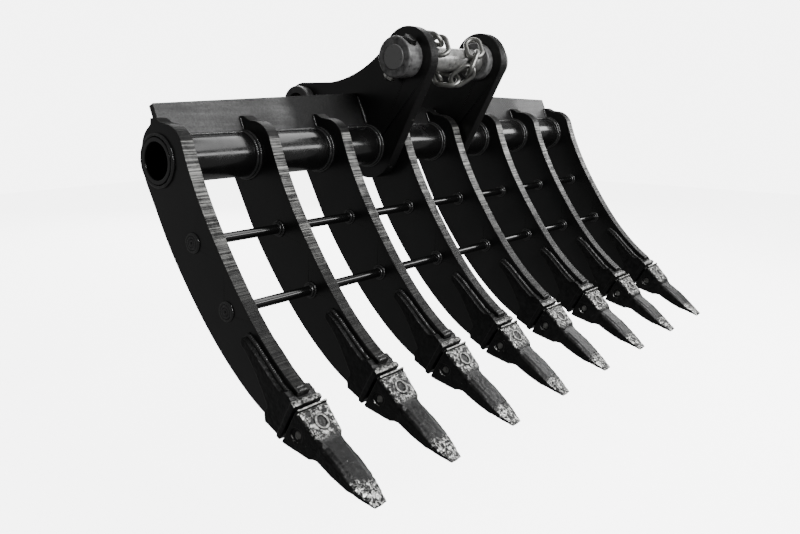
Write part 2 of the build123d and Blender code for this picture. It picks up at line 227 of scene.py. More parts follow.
def flame_cut_plate(name, face_colour, edge_colour, edge_bare, repaint_above):
    """Black enamel on the plate's faces and grey, lined flame-cut edges.
    edge_bare is how much of the edge the paint leaves grey, from 0 to 1, and
    repaint_above is the height over which the edge is painted again."""
    material = new_material(name)
    where = add_node(material, "ShaderNodeTexCoord").outputs["Object"]
    facing = add_node(
        material,
        "ShaderNodeSeparateXYZ",
        {"Vector": add_node(material, "ShaderNodeNewGeometry").outputs["Normal"]},
    )
    side = add_node(material, "ShaderNodeMath", {0: facing.outputs["X"]}, operation="ABSOLUTE")
    edge = add_node(
        material,
        "ShaderNodeMapRange",
        {"Value": side.outputs[0], "From Min": 0.55, "From Max": 0.8, "To Min": 1.0, "To Max": 0.0},
    )
    # Drag lines run straight across the plate, so the pattern is stretched along X
    across = add_node(
        material,
        "ShaderNodeMapping",
        {"Vector": where, "Scale": (6, 1 / drag_line, 1 / drag_line)},
    )
    lines = add_node(
        material,
        "ShaderNodeTexNoise",
        {"Vector": across.outputs[0], "Scale": 0.6, "Detail": 4.0, "Roughness": 0.75},
    )
    gouges = add_node(
        material,
        "ShaderNodeMapping",
        {"Vector": where, "Scale": (7, 1 / (4 * drag_line), 1 / (4 * drag_line))},
    )
    gouge = add_node(
        material,
        "ShaderNodeTexNoise",
        {"Vector": gouges.outputs[0], "Scale": 0.5, "Detail": 4.0, "Roughness": 0.7},
    )
    bare = add_node(
        material,
        "ShaderNodeTexNoise",
        {"Vector": where, "Scale": 1 / 0.03, "Detail": 7.0, "Roughness": 0.65},
    )
    paint_left = add_node(
        material,
        "ShaderNodeMath",
        {0: bare.outputs["Fac"], 1: lines.outputs["Fac"]},
        operation="ADD",
    )
    thin_paint = add_node(
        material,
        "ShaderNodeMapRange",
        {"Value": paint_left.outputs[0], "From Min": 1.25 - edge_bare, "From Max": 1.5 - edge_bare},
    )
    # The rounded shoulder above the front edge was painted again after welding
    height = add_node(material, "ShaderNodeSeparateXYZ", {"Vector": where})
    below = add_node(
        material,
        "ShaderNodeMapRange",
        {
            "Value": height.outputs["Z"],
            "From Min": repaint_above - 0.003,
            "From Max": repaint_above,
            "To Min": 1.0,
            "To Max": 0.06,
        },
    )
    # Further down, towards the castings, the edge is darkened: painted shade where its lower curve
    # faces away from the light
    above = add_node(
        material,
        "ShaderNodeMapRange",
        {
            "Value": height.outputs["Z"],
            "From Min": -0.5,
            "From Max": -0.3,
            "To Min": 0.1,
            "To Max": 1.0,
        },
    )
    shoulder_repaint_and_low_shade = add_node(
        material,
        "ShaderNodeMath",
        {0: above.outputs[0], 1: below.outputs[0]},
        operation="MULTIPLY",
    )
    bare_edge_and_low_shade = add_node(
        material,
        "ShaderNodeMath",
        {0: thin_paint.outputs[0], 1: shoulder_repaint_and_low_shade.outputs[0]},
        operation="MULTIPLY",
    )
    edge_tone = add_node(
        material,
        "ShaderNodeValToRGB",
        {"Fac": lines.outputs["Fac"]},
        stops=[(0.4, linear("#0e0e0e")), (0.52, linear(edge_colour)), (0.66, linear("#969692"))],
    )
    edge_mix = add_node(
        material,
        "ShaderNodeMix",
        {0: bare_edge_and_low_shade.outputs[0], 6: linear("#101010"), 7: edge_tone.outputs[0]},
        data_type="RGBA",
    )
    dust = add_node(
        material,
        "ShaderNodeTexNoise",
        {"Vector": where, "Scale": 1 / 0.09, "Detail": 8.0, "Roughness": 0.62},
    )
    face_tone = add_node(
        material,
        "ShaderNodeValToRGB",
        {"Fac": dust.outputs["Fac"]},
        stops=[(0.35, linear(face_colour)), (0.75, linear("#161616"))],
    )
    colour = add_node(
        material,
        "ShaderNodeMix",
        {0: edge.outputs[0], 6: face_tone.outputs[0], 7: edge_mix.outputs[2]},
        data_type="RGBA",
    )
    scale_marks = add_node(
        material,
        "ShaderNodeTexNoise",
        {"Vector": where, "Scale": 1 / 0.007, "Detail": 5.0, "Roughness": 0.6},
    )
    face_bump = add_node(
        material,
        "ShaderNodeBump",
        {"Height": scale_marks.outputs["Fac"], "Strength": 0.25, "Distance": 0.0005},
    )
    both = add_node(
        material,
        "ShaderNodeMath",
        {0: lines.outputs["Fac"], 1: gouge.outputs["Fac"]},
        operation="ADD",
    )
    edge_height = add_node(
        material,
        "ShaderNodeMath",
        {0: both.outputs[0], 1: edge.outputs[0]},
        operation="MULTIPLY",
    )
    bump = add_node(
        material,
        "ShaderNodeBump",
        {
            "Height": edge_height.outputs[0],
            "Strength": 0.8,
            "Distance": 0.0011,
            "Normal": face_bump.outputs[0],
        },
    )
    shine = add_node(
        material,
        "ShaderNodeMapRange",
        {"Value": edge.outputs[0], "To Min": 0.3, "To Max": 0.42},
    )
    # Painted edge is duller than enamel on the rolled face, bare edge glints; it also glints less
    # low down, where it is darkened as painted shade
    edge_gleam = add_node(
        material,
        "ShaderNodeMapRange",
        {"Value": bare_edge_and_low_shade.outputs[0], "To Min": 0.1, "To Max": 0.5},
    )
    gleam = add_node(
        material,
        "ShaderNodeMix",
        {0: edge.outputs[0], 2: 0.42, 3: edge_gleam.outputs[0]},
    )
    shader = add_node(
        material,
        "ShaderNodeBsdfPrincipled",
        {
            "Base Color": colour.outputs[2],
            "Roughness": shine.outputs[0],
            "Normal": bump.outputs[0],
            "IOR": 1.5,
            "Specular IOR Level": gleam.outputs[0],
        },
    )
    return finish_material(material, shader)


tine_steel = flame_cut_plate("flame_cut_tine_black_enamel", "#0a0a0a", "#4c4c4a", 0.42, -0.186)
for tine in tine_names:
    dress(cad_nodes[tine], tine_steel)
    soften_edges(cad_nodes[tine], 0.0014)

# ---------------------------------------------------------------------------
# Back plates: 16 mm plate standing on the tube between the tines and the ears,
# leaning back. Black satin paint given a greyer tone as painted sheen, in soft
# clouds where the spray fanned out, and black near the ears where that painted sheen stops.
# ---------------------------------------------------------------------------


sheen_gap_middle = 0.085
sheen_gap_reach = 0.58
sheen_gap_fade = 0.04


def satin_paint_with_painted_sheen(name):
    """Satin black paint given a grey tone as painted sheen. Its clouds are about 160 mm
    across, and its grain is drawn 6 mm wide, coarser than real, so that it shows."""
    material = new_material(name)
    where = add_node(material, "ShaderNodeTexCoord").outputs["Object"]
    cloud = add_node(
        material,
        "ShaderNodeTexNoise",
        {"Vector": where, "Scale": 1 / 0.16, "Detail": 5.0, "Roughness": 0.55},
    )
    streaks_at = add_node(material, "ShaderNodeMapping", {"Vector": where, "Scale": (4, 60, 60)})
    streaks = add_node(
        material,
        "ShaderNodeTexNoise",
        {"Vector": streaks_at.outputs[0], "Scale": 1.0, "Detail": 6.0, "Roughness": 0.7},
    )
    grain = add_node(
        material,
        "ShaderNodeTexNoise",
        {"Vector": where, "Scale": 1 / 0.006, "Detail": 5.0, "Roughness": 0.75},
    )
    mixed = add_node(
        material,
        "ShaderNodeMath",
        {0: cloud.outputs["Fac"], 1: streaks.outputs["Fac"]},
        operation="ADD",
    )
    half = add_node(material, "ShaderNodeMath", {0: mixed.outputs[0], 1: 0.5}, operation="MULTIPLY")
    # This grey tone stands in for the satin sheen on black paint: painted sheen
    tone = add_node(
        material,
        "ShaderNodeValToRGB",
        {"Fac": half.outputs[0]},
        stops=[(0.38, linear("#303030")), (0.64, linear("#5a5a5a"))],
    )
    # The painted sheen stops short of the ears, so the inner part of each plate stays black, as
    # where a reflection ends
    place = add_node(material, "ShaderNodeSeparateXYZ", {"Vector": where})
    aside = add_node(
        material,
        "ShaderNodeMath",
        {0: place.outputs["X"], 1: sheen_gap_middle},
        operation="SUBTRACT",
    )
    from_middle = add_node(material, "ShaderNodeMath", {0: aside.outputs[0]}, operation="ABSOLUTE")
    wander = add_node(
        material,
        "ShaderNodeMath",
        {0: cloud.outputs["Fac"], 1: 0.1, 2: from_middle.outputs[0]},
        operation="MULTIPLY_ADD",
    )
    painted_sheen_mask = add_node(
        material,
        "ShaderNodeMapRange",
        {
            "Value": wander.outputs[0],
            "From Min": sheen_gap_reach,
            "From Max": sheen_gap_reach + sheen_gap_fade,
        },
    )
    speckled = add_node(
        material,
        "ShaderNodeValToRGB",
        {"Fac": grain.outputs["Fac"]},
        stops=[(0.4, grey(0.5)), (0.6, grey(1))],
    )
    spotted_tone = add_node(
        material,
        "ShaderNodeMix",
        {0: 0.8, 6: tone.outputs[0], 7: speckled.outputs[0]},
        data_type="RGBA",
        blend_type="MULTIPLY",
    )
    colour = add_node(
        material,
        "ShaderNodeMix",
        {0: painted_sheen_mask.outputs[0], 6: linear("#0e0e0e"), 7: spotted_tone.outputs[2]},
        data_type="RGBA",
    )
    bump = add_node(
        material,
        "ShaderNodeBump",
        {"Height": grain.outputs["Fac"], "Strength": 1.0, "Distance": 0.0012},
    )
    shine = add_node(
        material,
        "ShaderNodeMapRange",
        {
            "Value": cloud.outputs["Fac"],
            "From Min": 0.3,
            "From Max": 0.7,
            "To Min": 0.36,
            "To Max": 0.55,
        },
    )
    gleam = add_node(
        material,
        "ShaderNodeMapRange",
        {"Value": painted_sheen_mask.outputs[0], "To Min": 0.2, "To Max": 0.26},
    )
    shader = add_node(
        material,
        "ShaderNodeBsdfPrincipled",
        {
            "Base Color": colour.outputs[2],
            "Roughness": shine.outputs[0],
            "Normal": bump.outputs[0],
            "IOR": 1.5,
            "Specular IOR Level": gleam.outputs[0],
        },
    )
    return finish_material(material, shader)


plate_paint_and_sheen = satin_paint_with_painted_sheen("back_plate_satin_paint_painted_sheen")
for plate in ("back_plate_left", "back_plate_centre", "back_plate_right"):
    dress(cad_nodes[plate], plate_paint_and_sheen)
    soften_edges(cad_nodes[plate], 0.0012)

# ---------------------------------------------------------------------------
# Ears: two 32 mm flame-cut cheek plates welded round the tube. Satin black
# enamel; their cut edges are ground smoother than the tines', so only a
# little grey shows.
# ---------------------------------------------------------------------------
ear_steel = flame_cut_plate("flame_cut_ear_satin_enamel", "#0c0c0c", "#303030", 0.05, 1.0)
for ear in ("ear_left", "ear_right"):
    dress(cad_nodes[ear], ear_steel)
    soften_edges(cad_nodes[ear], 0.002)

# ---------------------------------------------------------------------------
# Bosses: turned steel collars welded on both faces of both ears where the
# hitch pins pass. Lathe-turned, then sprayed, so faint turning rings show.
# The rings are drawn 1.2 mm apart, coarser than real, so that they show.
# ---------------------------------------------------------------------------


def turned_steel(name, centre, painted, colour, roughness, pitch, bare_between=None):
    """Turned steel with rings a pitch apart about an axis along X. painted is how
    much enamel covers it, and bare_between leaves a shaft bare that far either
    side of its middle."""
    material = new_material(name)
    where = add_node(material, "ShaderNodeTexCoord").outputs["Object"]
    about = add_node(
        material,
        "ShaderNodeMapping",
        {"Vector": where, "Location": (0, -centre[0], -centre[1])},
    )
    flat = add_node(material, "ShaderNodeMapping", {"Vector": about.outputs[0], "Scale": (0, 1, 1)})
    radius = add_node(material, "ShaderNodeVectorMath", {0: flat.outputs[0]}, operation="LENGTH")
    along = add_node(material, "ShaderNodeSeparateXYZ", {"Vector": about.outputs[0]})
    path = add_node(
        material,
        "ShaderNodeMath",
        {0: radius.outputs["Value"], 1: along.outputs["X"]},
        operation="ADD",
    )
    groove = add_node(
        material,
        "ShaderNodeMath",
        {0: path.outputs[0], 1: 2 * math.pi / pitch},
        operation="MULTIPLY",
    )
    wave = add_node(material, "ShaderNodeMath", {0: groove.outputs[0]}, operation="SINE")
    grime = add_node(
        material,
        "ShaderNodeTexNoise",
        {"Vector": where, "Scale": 1 / 0.018, "Detail": 7.0, "Roughness": 0.65},
    )
    tone = add_node(
        material,
        "ShaderNodeValToRGB",
        {"Fac": grime.outputs["Fac"]},
        stops=[(0.3, linear("#1a1a1a")), (0.62, linear(colour))],
    )
    tone_socket = tone.outputs[0]
    metal_socket = 1.0 - painted
    if bare_between:
        distance = add_node(
            material,
            "ShaderNodeMath",
            {0: along.outputs["X"]},
            operation="ABSOLUTE",
        )
        bare = add_node(
            material,
            "ShaderNodeMapRange",
            {
                "Value": distance.outputs[0],
                "From Min": bare_between,
                "From Max": bare_between + 0.01,
                "To Min": 1.0,
                "To Max": 0.0,
            },
        )
        polished = add_node(
            material,
            "ShaderNodeValToRGB",
            {"Fac": grime.outputs["Fac"]},
            stops=[(0.3, linear("#7a7a78")), (0.6, linear(colour))],
        )
        # The pin's painted ends get the same lighter grey as the front bosses: painted light
        coated_ends_painted_light = add_node(
            material,
            "ShaderNodeMix",
            {0: bare.outputs[0], 6: linear("#626262"), 7: polished.outputs[0]},
            data_type="RGBA",
        )
        tone_socket = coated_ends_painted_light.outputs[2]
        metal_socket = add_node(
            material,
            "ShaderNodeMath",
            {0: bare.outputs[0], 1: 1.0 - painted},
            operation="MULTIPLY",
        ).outputs[0]
    bump = add_node(
        material,
        "ShaderNodeBump",
        {"Height": wave.outputs[0], "Strength": 0.2, "Distance": 0.0001},
    )
    pits = add_node(
        material,
        "ShaderNodeBump",
        {
            "Height": grime.outputs["Fac"],
            "Strength": 0.2,
            "Distance": 0.0008,
            "Normal": bump.outputs[0],
        },
    )
    shine = add_node(
        material,
        "ShaderNodeMapRange",
        {
            "Value": grime.outputs["Fac"],
            "From Min": 0.3,
            "From Max": 0.7,
            "To Min": roughness * 0.8,
            "To Max": roughness * 1.4,
        },
    )
    shader = add_node(
        material,
        "ShaderNodeBsdfPrincipled",
        {
            "Base Color": tone_socket,
            "Metallic": metal_socket,
            "Roughness": shine.outputs[0],
            "Normal": pits.outputs[0],
        },
    )
    return finish_material(material, shader)


front_axis = (0.0, 0.0)
rear_low, rear_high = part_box("boss_rear_outer_left")
rear_axis = ((rear_low.y + rear_high.y) / 2, (rear_low.z + rear_high.z) / 2)
turning = 0.0012
# The front bosses get a lighter grey than the rear ones, though both wear the same satin enamel:
# painted light on their end faces
front_boss_paint_painted_light = turned_steel(
    "turned_boss_satin_enamel_front_painted_light", front_axis, 1.0, "#646464", 0.32, turning
)
rear_boss_paint = turned_steel(
    "turned_boss_satin_enamel_rear", rear_axis, 1.0, "#333333", 0.34, turning
)
for boss in sorted(n for n in cad_nodes if n.startswith("boss_")):
    dress(cad_nodes[boss], front_boss_paint_painted_light if "front" in boss else rear_boss_paint)
    soften_edges(cad_nodes[boss], 0.0012)

# ---------------------------------------------------------------------------
# Hitch pin: 65 mm ground alloy-steel bar held by the keeper bolt. Left bare and
# bright between the ears, with faint grinding rings and grease stains, and
# painted over at its ends.
# ---------------------------------------------------------------------------
pin_grinding = 0.0008
pin_steel = turned_steel(
    "hitch_pin_ground_steel", front_axis, 0.2, "#a8a8a6", 0.3, pin_grinding, bare_between=0.15
)
dress(cad_nodes["hitch_pin"], pin_steel)
soften_edges(cad_nodes["hitch_pin"], 0.0008)

# ---------------------------------------------------------------------------
# Keeper bolt, nut and washers: M20 bolt through the left front boss and the
# pin. The bolt was sprayed black with the rake. The nut and washers are bright
# zinc plate with a slight milky bloom.
# ---------------------------------------------------------------------------


def zinc_plate(name, colour, roughness):
    """Zinc on steel. Its blotches are drawn 6 mm wide, coarse enough to show."""
    material = new_material(name)
    where = add_node(material, "ShaderNodeTexCoord").outputs["Object"]
    bloom = add_node(
        material,
        "ShaderNodeTexNoise",
        {"Vector": where, "Scale": 1 / 0.006, "Detail": 5.0, "Roughness": 0.6},
    )
    tone = add_node(
        material,
        "ShaderNodeValToRGB",
        {"Fac": bloom.outputs["Fac"]},
        stops=[(0.3, linear("#7d7d7b")), (0.65, linear(colour))],
    )
    shine = add_node(
        material,
        "ShaderNodeMapRange",
        {
            "Value": bloom.outputs["Fac"],
            "From Min": 0.3,
            "From Max": 0.7,
            "To Min": roughness,
            "To Max": roughness + 0.2,
        },
    )
    bump = add_node(
        material,
        "ShaderNodeBump",
        {"Height": bloom.outputs["Fac"], "Strength": 0.15, "Distance": 0.0003},
    )
    shader = add_node(
        material,
        "ShaderNodeBsdfPrincipled",
        {
            "Base Color": tone.outputs[0],
            "Metallic": 1.0,
            "Roughness": shine.outputs[0],
            "Normal": bump.outputs[0],
        },
    )
    return finish_material(material, shader)


bolt_zinc = zinc_plate("keeper_bright_zinc", "#e6e6e2", 0.22)
head_enamel = gloss_enamel("keeper_head_black_enamel", "#101010", 0.22, 0.2)
for part, finish in (
    ("keeper_bolt", head_enamel),
    ("keeper_nut", bolt_zinc),
    ("keeper_washers", bolt_zinc),
):
    dress(cad_nodes[part], finish)
    soften_edges(cad_nodes[part], 0.0006)

# ---------------------------------------------------------------------------
# Lifting chain: 13 mm welded long-link chain wound once round the hitch pin and
# free at both ends, hot-dip galvanised and weathered to a dull, blotchy grey.
# ---------------------------------------------------------------------------
chain_zinc = zinc_plate("chain_weathered_galvanising", "#8c8c88", 0.3)
dress(cad_nodes["lifting_chain"], chain_zinc)

# ---------------------------------------------------------------------------
# Teeth and adapters: sand-cast alloy steel. The castings are black, and the
# tooth's top pad and tip are worn bright, with paint left in the cast pits.
# The sand's pits are drawn 7.5 mm wide, coarser than real, so that they show.
# ---------------------------------------------------------------------------
tooth_rear = Vector((0, -0.269, -0.717))
tooth_dip = math.radians(29.6)
tooth_along = Vector((0, -math.cos(tooth_dip), -math.sin(tooth_dip)))
tooth_up = Vector((0, -math.sin(tooth_dip), math.cos(tooth_dip)))
tine_pitch = tine_middles[1] - tine_middles[0]
pad_middle = 0.037
pad_ring = 0.014
sand_depth = 0.0005


def cast_steel(name, wear):
    """Black-painted sand casting. wear builds the mask of where the paint is gone."""
    material = new_material(name)
    surface = add_node(material, "ShaderNodeNewGeometry")
    where = surface.outputs["Position"]
    pits = add_node(
        material,
        "ShaderNodeTexNoise",
        {"Vector": where, "Scale": 1 / 0.0075, "Detail": 6.0, "Roughness": 0.65, "Distortion": 0.8},
    )
    lumps = add_node(
        material,
        "ShaderNodeTexNoise",
        {"Vector": where, "Scale": 1 / 0.016, "Detail": 4.0, "Roughness": 0.6, "Distortion": 0.8},
    )
    from_rear = add_node(
        material,
        "ShaderNodeVectorMath",
        {0: where, 1: tooth_rear},
        operation="SUBTRACT",
    )
    along = add_node(
        material,
        "ShaderNodeVectorMath",
        {0: from_rear.outputs[0], 1: tooth_along},
        operation="DOT_PRODUCT",
    ).outputs["Value"]
    facing = add_node(
        material,
        "ShaderNodeVectorMath",
        {0: surface.outputs["Normal"], 1: tooth_up},
        operation="DOT_PRODUCT",
    ).outputs["Value"]
    across = add_node(material, "ShaderNodeSeparateXYZ", {"Vector": where})
    from_gap = add_node(
        material,
        "ShaderNodeMath",
        {0: across.outputs["X"], 1: tine_pitch, 2: 0.0},
        operation="WRAP",
    )
    sideways = add_node(
        material,
        "ShaderNodeMath",
        {0: from_gap.outputs[0], 1: tine_pitch / 2},
        operation="SUBTRACT",
    ).outputs[0]
    worn = wear(material, along, sideways, facing, pits.outputs["Fac"], lumps.outputs["Fac"])
    black = add_node(
        material,
        "ShaderNodeValToRGB",
        {"Fac": lumps.outputs["Fac"]},
        stops=[(0.35, linear("#080808")), (0.72, linear("#1c1c1c"))],
    )
    bright = add_node(
        material,
        "ShaderNodeValToRGB",
        {"Fac": pits.outputs["Fac"]},
        stops=[(0.4, linear("#5c5c5a")), (0.65, linear("#d8d8d5"))],
    )
    colour_mix = add_node(
        material,
        "ShaderNodeMix",
        {0: worn, 6: black.outputs[0], 7: bright.outputs[0]},
        data_type="RGBA",
    )
    metal = add_node(material, "ShaderNodeMath", {0: worn, 1: 0.85}, operation="MULTIPLY")
    shine = add_node(
        material,
        "ShaderNodeMapRange",
        {"Value": worn, "To Min": 0.3, "To Max": 0.36},
    )
    bump = add_node(
        material,
        "ShaderNodeBump",
        {"Height": pits.outputs["Fac"], "Strength": 0.55, "Distance": 0.0016},
    )
    shader = add_node(
        material,
        "ShaderNodeBsdfPrincipled",
        {
            "Base Color": colour_mix.outputs[2],
            "Metallic": metal.outputs[0],
            "Roughness": shine.outputs[0],
            "Specular IOR Level": 0.2,
            "Normal": bump.outputs[0],
        },
    )
    return finish_material(material, shader)


def tooth_wear(material, along, sideways, facing, pits, lumps):
    """The tooth's pad, ring, rear rim and tip are rubbed bright."""
    topside = add_node(
        material,
        "ShaderNodeMapRange",
        {"Value": facing, "From Min": 0.5, "From Max": 0.8},
    ).outputs[0]
    pad = add_node(
        material,
        "ShaderNodeMapRange",
        {"Value": along, "From Min": 0.060, "From Max": 0.070, "To Min": 0.8, "To Max": 0.0},
    )
    ds = add_node(material, "ShaderNodeMath", {0: along, 1: pad_middle}, operation="SUBTRACT")
    ring_place = add_node(material, "ShaderNodeCombineXYZ", {"X": sideways, "Y": ds.outputs[0]})
    ring_distance = add_node(
        material,
        "ShaderNodeVectorMath",
        {0: ring_place.outputs[0]},
        operation="LENGTH",
    )
    off_ring = add_node(
        material,
        "ShaderNodeMath",
        {0: ring_distance.outputs["Value"], 1: pad_ring},
        operation="SUBTRACT",
    )
    off_ring = add_node(material, "ShaderNodeMath", {0: off_ring.outputs[0]}, operation="ABSOLUTE")
    ring = add_node(
        material,
        "ShaderNodeMapRange",
        {
            "Value": off_ring.outputs[0],
            "From Min": 0.0016,
            "From Max": 0.0028,
            "To Min": 1.0,
            "To Max": 0.0,
        },
    )
    beside_ring = add_node(
        material,
        "ShaderNodeMapRange",
        {
            "Value": ring_distance.outputs["Value"],
            "From Min": 0.0165,
            "From Max": 0.019,
            "To Min": 0.1,
            "To Max": 1.0,
        },
    )
    mottle = add_node(
        material,
        "ShaderNodeMapRange",
        {"Value": pits, "From Min": 0.49, "From Max": 0.57},
    )
    rubbed = add_node(
        material,
        "ShaderNodeMath",
        {0: mottle.outputs[0], 1: beside_ring.outputs[0]},
        operation="MULTIPLY",
    )
    on_pad = add_node(
        material,
        "ShaderNodeMath",
        {0: rubbed.outputs[0], 1: ring.outputs[0]},
        operation="MAXIMUM",
    )
    rim = add_node(
        material,
        "ShaderNodeMapRange",
        {"Value": along, "From Min": 0.0048, "From Max": 0.0056, "To Min": 0.9, "To Max": 0.0},
    )
    on_pad = add_node(
        material,
        "ShaderNodeMath",
        {0: on_pad.outputs[0], 1: pad.outputs[0]},
        operation="MULTIPLY",
    )
    on_pad = add_node(
        material,
        "ShaderNodeMath",
        {0: on_pad.outputs[0], 1: rim.outputs[0]},
        operation="MAXIMUM",
    )
    on_top = add_node(
        material,
        "ShaderNodeMath",
        {0: on_pad.outputs[0], 1: topside},
        operation="MULTIPLY",
    )
    wander = add_node(
        material,
        "ShaderNodeMath",
        {0: lumps, 1: 0.06, 2: along},
        operation="MULTIPLY_ADD",
    )
    tip = add_node(
        material,
        "ShaderNodeMapRange",
        {"Value": wander.outputs[0], "From Min": 0.200, "From Max": 0.212},
    )
    upward = add_node(
        material,
        "ShaderNodeMapRange",
        {"Value": facing, "From Min": 0.1, "From Max": 0.5},
    )
    tip = add_node(
        material,
        "ShaderNodeMath",
        {0: tip.outputs[0], 1: upward.outputs[0]},
        operation="MULTIPLY",
    )
    tip = add_node(
        material,
        "ShaderNodeMath",
        {0: tip.outputs[0], 1: mottle.outputs[0]},
        operation="MULTIPLY",
    )
    flecks = add_node(
        material,
        "ShaderNodeMapRange",
        {"Value": pits, "From Min": 0.68, "From Max": 0.74, "To Max": 0.5},
    )
    worn = add_node(
        material,
        "ShaderNodeMath",
        {0: on_top.outputs[0], 1: tip.outputs[0]},
        operation="MAXIMUM",
    )
    worn = add_node(
        material,
        "ShaderNodeMath",
        {0: worn.outputs[0], 1: flecks.outputs[0]},
        operation="MAXIMUM",
    )
    return worn.outputs[0]


def adapter_wear(material, along, sideways, facing, pits, lumps):
    """Only the adapter's front rim and the crests near its weld are rubbed."""
    topside = add_node(
        material,
        "ShaderNodeMapRange",
        {"Value": facing, "From Min": 0.4, "From Max": 0.8},
    )
    rim = add_node(
        material,
        "ShaderNodeMapRange",
        {"Value": along, "From Min": -0.024, "From Max": -0.018, "To Max": 0.7},
    )
    crest = add_node(
        material,
        "ShaderNodeMapRange",
        {"Value": pits, "From Min": 0.45, "From Max": 0.58},
    )
    rim = add_node(
        material,
        "ShaderNodeMath",
        {0: rim.outputs[0], 1: crest.outputs[0]},
        operation="MULTIPLY",
    )
    rim = add_node(
        material,
        "ShaderNodeMath",
        {0: rim.outputs[0], 1: topside.outputs[0]},
        operation="MULTIPLY",
    )
    flecks = add_node(
        material,
        "ShaderNodeMapRange",
        {"Value": pits, "From Min": 0.70, "From Max": 0.76, "To Max": 0.3},
    )
    return add_node(
        material,
        "ShaderNodeMath",
        {0: rim.outputs[0], 1: flecks.outputs[0]},
        operation="MAXIMUM",
    ).outputs[0]


def bump_at(value, middle, half):
    """1 at the middle of a band, falling to 0 at its edges."""
    return max(0.0, 1.0 - abs(value - middle) / half)


def tooth_relief(spot, s, x, facing):
    """How far the tooth's skin stands out: ring, ribs beside it, rough band and side lips."""
    out = 0.0
    if facing > 0.6 and s < 0.075:
        from_ring = math.hypot(x, s - pad_middle)
        out += 0.0016 * min(1.0, 2 * bump_at(from_ring, pad_ring, 0.003))
        if from_ring > 0.019 or from_ring < 0.009:
            out += 0.0013 * max(0.0, noise.noise(spot / 0.0045))
        if 0.052 < s < 0.066:
            out += 0.0018 * max(0.0, noise.noise(Vector((x / 0.0035, s / 0.009, 3.0))))
        out -= 0.0024 * min(1.0, 2 * bump_at(s, 0.0066, 0.0022))
    if facing > -0.2 and 0.068 < s < 0.165:
        lip = bump_at(abs(x), 0.028, 0.006) * min(1.0, (s - 0.068) / 0.01, (0.165 - s) / 0.03)
        out += 0.0022 * lip
    if s > 0.17:
        out += 0.0012 * noise.noise(spot / 0.006) - 0.0006
    return out


def adapter_relief(spot, s, x, facing):
    """How far the adapter's skin stands out: the groove behind its front rim."""
    out = 0.0
    if facing > 0.5 and -0.06 < s < -0.02:
        out -= 0.0014 * bump_at(s, -0.0245, 0.0035)
        out += 0.0012 * bump_at(s, -0.031, 0.004)
    return out


def casting_from(node, grain, rounding, relief):
    """A casting's mesh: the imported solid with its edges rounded, its relief and
    a sand-cast skin. grain is the size of its faces."""
    working = bpy.data.objects.new(node + "_working", cad_nodes[node].data.copy())
    bpy.context.scene.collection.objects.link(working)
    remesh = working.modifiers.new("even_skin", "REMESH")
    remesh.mode = "VOXEL"
    remesh.voxel_size = grain
    smooth = working.modifiers.new("cast_rounding", "SMOOTH")
    smooth.factor = 0.5
    smooth.iterations = rounding
    shown = bpy.context.evaluated_depsgraph_get()
    mesh = bpy.data.meshes.new_from_object(working.evaluated_get(shown))
    bpy.data.objects.remove(working)
    normals = [v.normal.copy() for v in mesh.vertices]
    for vertex, normal in zip(mesh.vertices, normals):
        s = (vertex.co - tooth_rear).dot(tooth_along)
        x = vertex.co.x - tine_middles[0]
        sand = noise.noise(vertex.co / 0.009) + 0.6 * noise.noise(vertex.co / 0.004)
        skin = sand_depth * min(sand - 0.3, 0.2)
        vertex.co += normal * (skin + relief(vertex.co, s, x, normal.dot(tooth_up)))
    mesh.shade_smooth()
    return mesh


def same_mould(mesh, name, shift, material):
    """One more casting from the same mould, shifted along the tube."""
    data = mesh.copy()
    data.transform(Matrix.Translation((shift, 0, 0)))
    data.materials.clear()
    data.materials.append(material)
    piece = bpy.data.objects.new(name, data)
    bpy.context.scene.collection.objects.link(piece)
    return piece


tooth_steel = cast_steel("cast_tooth_worn_black", tooth_wear)
adapter_steel = cast_steel("cast_adapter_black", adapter_wear)
tooth_mesh = casting_from("tooth_1", 0.0015, 2, tooth_relief)
adapter_mesh = casting_from("adapter_1", 0.0018, 8, adapter_relief)
moulds = (("tooth", tooth_mesh, tooth_steel), ("adapter", adapter_mesh, adapter_steel))
for number, middle in enumerate(tine_middles, start=1):
    shift = middle - tine_middles[0]
    for kind, mesh, material in moulds:
        piece = same_mould(mesh, f"{kind}_casting_{number}", shift, material)
        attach(piece, "rake")
        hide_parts(f"{kind}_{number}")

# ---------------------------------------------------------------------------
# Lock pins: 16 mm turned steel pins driven through each tooth and its
# adapter's nose. Bare steel gone dull. At rest only the ends show.
# ---------------------------------------------------------------------------
lock_low, lock_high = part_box("tooth_pin_1")
lock_axis = ((lock_low.y + lock_high.y) / 2, (lock_low.z + lock_high.z) / 2)
lock_steel = turned_steel("lock_pin_dull_steel", lock_axis, 0.2, "#8f8f8c", 0.4, 0.0007)
for number in range(1, len(tine_names) + 1):
    dress(cad_nodes[f"tooth_pin_{number}"], lock_steel)

# ---------------------------------------------------------------------------
# Weld beads: laid by hand in steel wire along the joints of tube, rods, plates
# and adapters, each bead a row of overlapping ripples about 5 mm apart, painted
# over in black enamel.
# ---------------------------------------------------------------------------
ripple = 0.0046
bead_step = 0.0013


